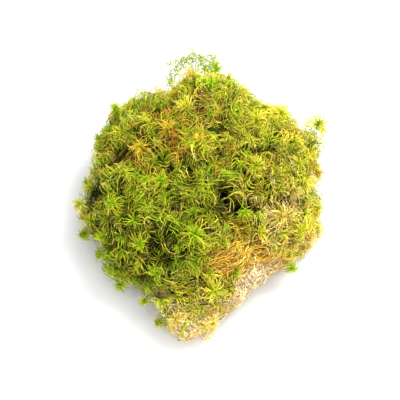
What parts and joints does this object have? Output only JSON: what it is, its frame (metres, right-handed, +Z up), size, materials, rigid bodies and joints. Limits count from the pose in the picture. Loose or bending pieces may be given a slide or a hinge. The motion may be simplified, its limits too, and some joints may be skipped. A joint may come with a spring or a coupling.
{
  "type": "moss clump",
  "caption": "Rounded clump of live peat moss with star-shaped heads, arching shoots at the back and a flat, cut underside of dead stems; lies on a surface as loose decoration or ground cover",
  "frame": {"origin": "on the resting surface, under the middle of the clump's bounding box", "axes": "+Z up; +X to the right and +Y away from a viewer facing the side with the bare straw"},
  "size_m": [0.1172, 0.1398, 0.0525],
  "materials": {
    "packed_moss": "matte, fibrous mat of moss branches and dead straw-coloured stems",
    "green_moss": "living moss, matte to slightly waxy",
    "yellow_moss": "living moss, yellow-green, matte to slightly waxy",
    "amber_moss": "sun-bleached moss with orange-brown tips, matte",
    "pale_moss": "pale, drying moss, matte",
    "dark_twig": "bare dark twig, matte"
  },
  "bodies": {
    "root": {"moss_mat": "packed_moss", "shoot_01": "amber_moss", "shoot_02": "green_moss", "shoot_03": "yellow_moss", "shoot_04": "yellow_moss", "shoot_05": "amber_moss", "shoot_06": "yellow_moss", "shoot_07": "yellow_moss", "shoot_08": "pale_moss", "shoot_09": "green_moss", "shoot_10": "green_moss", "shoot_11": "green_moss", "shoot_12": "green_moss", "shoot_13": "green_moss", "shoot_14": "green_moss", "shoot_15": "yellow_moss", "shoot_16": "green_moss", "shoot_17": "green_moss", "shoot_18": "green_moss", "shoot_19": "yellow_moss", "shoot_20": "green_moss", "shoot_21": "green_moss", "shoot_22": "green_moss", "shoot_23": "pale_moss", "shoot_24": "pale_moss", "shoot_25": "yellow_moss", "shoot_26": "green_moss", "shoot_27": "yellow_moss", "shoot_28": "yellow_moss", "shoot_29": "amber_moss", "shoot_30": "green_moss", "shoot_31": "yellow_moss", "shoot_32": "yellow_moss", "shoot_33": "green_moss", "shoot_34": "yellow_moss", "shoot_35": "amber_moss", "shoot_36": "amber_moss", "shoot_37": "yellow_moss", "shoot_38": "pale_moss", "shoot_39": "yellow_moss", "shoot_40": "green_moss", "shoot_41": "green_moss", "shoot_42": "yellow_moss", "shoot_43": "green_moss", "shoot_44": "green_moss", "spray_shoot_1": "green_moss", "spray_shoot_2": "green_moss", "spray_shoot_3": "green_moss", "twig": "dark_twig"}
  },
  "joints": []
}
